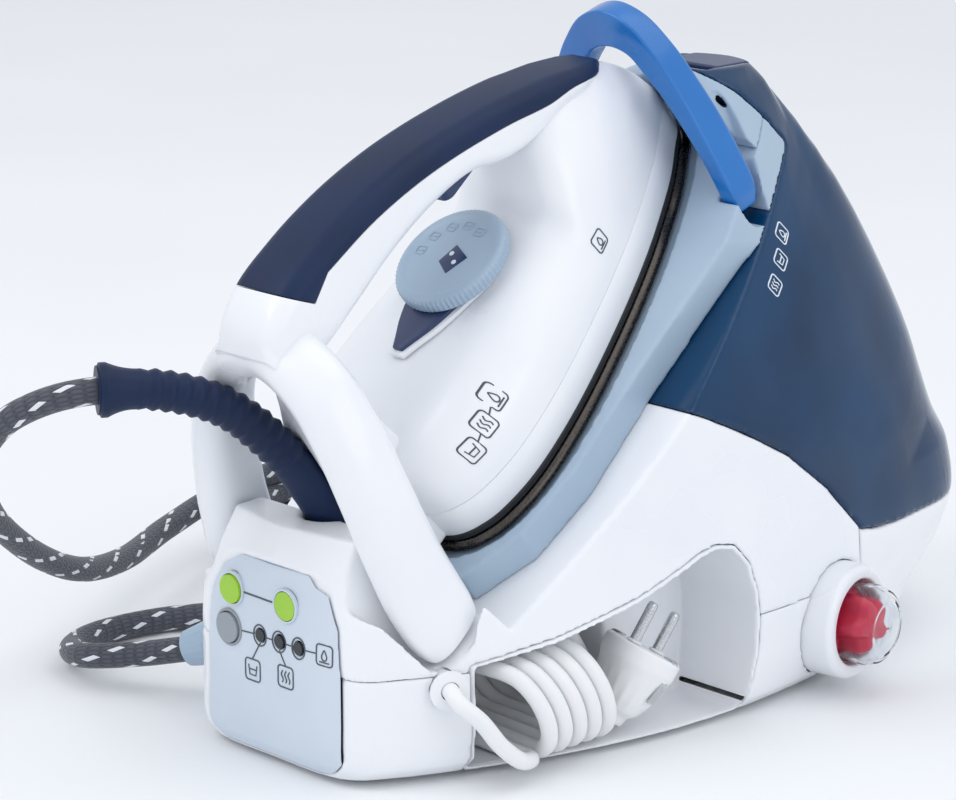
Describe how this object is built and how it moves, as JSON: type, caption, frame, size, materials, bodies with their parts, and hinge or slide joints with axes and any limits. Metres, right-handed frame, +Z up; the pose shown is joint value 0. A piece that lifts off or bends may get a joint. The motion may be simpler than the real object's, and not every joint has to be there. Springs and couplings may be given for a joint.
{
  "type": "steam generator iron",
  "caption": "Boiler base with a slide-out water tank and a parked steam iron held by a lock hoop, with its braided steam hose, stored mains cord and plug.",
  "frame": {"origin": "on the standing surface, under the middle of the object's box without its hose and cord", "axes": "+Z up, -Y towards the control panel, +X towards the cord bay and the rinsing valve"},
  "size_m": [0.3815, 0.4752, 0.3031],
  "materials": {
    "white_shell": "moulded white ABS, fine satin gloss",
    "pale_blue_plastic": "moulded pale blue-grey ABS",
    "panel_plate": "printed pale grey-blue panel plate",
    "green_lens": "translucent green light cap",
    "grey_button": "moulded grey push button",
    "dark_lens": "dark indicator lens",
    "tank_plastic": "deep blue translucent moulded tank",
    "navy_plastic": "navy soft-touch plastic",
    "hoop_plastic": "bright blue glossy plastic",
    "clear_plastic": "clear polycarbonate",
    "red_plastic": "crimson moulded plastic",
    "rubber": "dark rubber and heat-proof seal",
    "braided_hose": "charcoal woven braid with pale flecks",
    "white_cord": "white PVC sheath",
    "pin_metal": "nickel plated and brushed metal",
    "boiler_steel": "drawn stainless steel",
    "cast_aluminium": "die-cast aluminium",
    "copper": "copper tube",
    "dark_plastic": "dark glass-filled nylon",
    "board": "glass-fibre circuit board"
  },
  "bodies": {
    "root": {"base_lower_shell": "white_shell", "base_upper_shell": "white_shell", "base_rear_cover": "white_shell", "cord_bay_liner": "white_shell", "valve_boss": "white_shell", "cord_bushing": "white_shell", "iron_rest": "pale_blue_plastic", "rest_cowl": "pale_blue_plastic", "hose_fitting": "pale_blue_plastic", "control_panel": "panel_plate", "ready_lens": "green_lens", "water_lens": "dark_lens", "filter_lens": "dark_lens", "steam_lens": "dark_lens", "foot_front_left": "rubber", "foot_front_right": "rubber", "foot_rear_left": "rubber", "foot_rear_right": "rubber", "rest_pad": "rubber", "water_pipe": "rubber", "steam_hose_return": "braided_hose", "steam_hose_coil": "braided_hose", "power_cord_lead": "white_cord", "power_cord_coil": "white_cord", "power_cord_tail": "white_cord", "plug_body": "white_cord", "plug_pin_a": "pin_metal", "plug_pin_b": "pin_metal", "hoop_pin_right": "pin_metal", "hoop_pin_left": "pin_metal", "boiler": "boiler_steel", "drain_tube": "cast_aluminium", "heating_element": "copper", "steam_pipe": "copper", "pump": "dark_plastic", "solenoid_valve": "dark_plastic", "circuit_board": "board"},
    "tank": {"water_tank": "tank_plastic", "tank_float": "clear_plastic"},
    "flap": {"filler_flap": "navy_plastic"},
    "hoop": {"lock_hoop": "hoop_plastic"},
    "iron": {"soleplate": "pin_metal", "heater_casting": "cast_aluminium", "heat_shield": "rubber", "iron_skirt": "white_shell", "iron_body": "white_shell", "handle_shell": "white_shell", "handle_cap": "navy_plastic", "heel_frame": "white_shell", "heel_cover": "white_shell", "dial_pointer": "navy_plastic", "thermostat": "cast_aluminium", "hose_sleeve": "navy_plastic", "steam_hose_front": "braided_hose"},
    "dial": {"temperature_dial": "pale_blue_plastic"},
    "trigger": {"steam_trigger": "navy_plastic"},
    "power": {"power_button": "green_lens"},
    "reset": {"reset_button": "grey_button"},
    "collector": {"collector_plug": "red_plastic"},
    "cap": {"collector_cap": "clear_plastic"}
  },
  "joints": [
    {"name": "iron_lift", "type": "slide", "parent": "root", "child": "iron", "axis": [0, -0.6494, 0.7604], "range_m": [0, 0.034]},
    {"name": "hoop_tilt", "type": "hinge", "parent": "root", "child": "hoop", "pos_m": [-0.01137, 0.04173, 0.217], "axis": [-1, 0, 0], "range_deg": [0, 18]},
    {"name": "tank_slide", "type": "slide", "parent": "root", "child": "tank", "axis": [0, 0.9397, 0.342], "range_m": [0, 0.12]},
    {"name": "flap_hinge", "type": "hinge", "parent": "tank", "child": "flap", "pos_m": [-0.01137, 0.10053, 0.2582], "axis": [-1, 0, 0], "range_deg": [0, 70]},
    {"name": "dial_turn", "type": "hinge", "parent": "iron", "child": "dial", "pos_m": [-0.01137, -0.07943, 0.19872], "axis": [0, -0.6494, 0.7604], "range_deg": [-120, 120]},
    {"name": "trigger_press", "type": "slide", "parent": "iron", "child": "trigger", "axis": [0, -0.6494, 0.7604], "range_m": [0, 0.0035], "stiffness_N_per_m": 400, "springref_m": -0.002},
    {"name": "power_press", "type": "slide", "parent": "root", "child": "power", "axis": [0, 1, 0], "range_m": [0, 0.0014], "stiffness_N_per_m": 600, "springref_m": -0.001},
    {"name": "reset_press", "type": "slide", "parent": "root", "child": "reset", "axis": [0, 1, 0], "range_m": [0, 0.0014], "stiffness_N_per_m": 600, "springref_m": -0.001},
    {"name": "collector_turn", "type": "hinge", "parent": "root", "child": "collector", "pos_m": [0.08714, 0.05773, 0.033], "axis": [0.9848, 0.174, 0], "range_deg": [0, 90]},
    {"name": "cap_pull", "type": "slide", "parent": "root", "child": "cap", "axis": [0.9848, 0.174, 0], "range_m": [0, 0.03]}
  ],
  "couplings": [
    {"joint": "hoop_tilt", "follows": "iron_lift", "rad_per_m": 9.23}
  ]
}
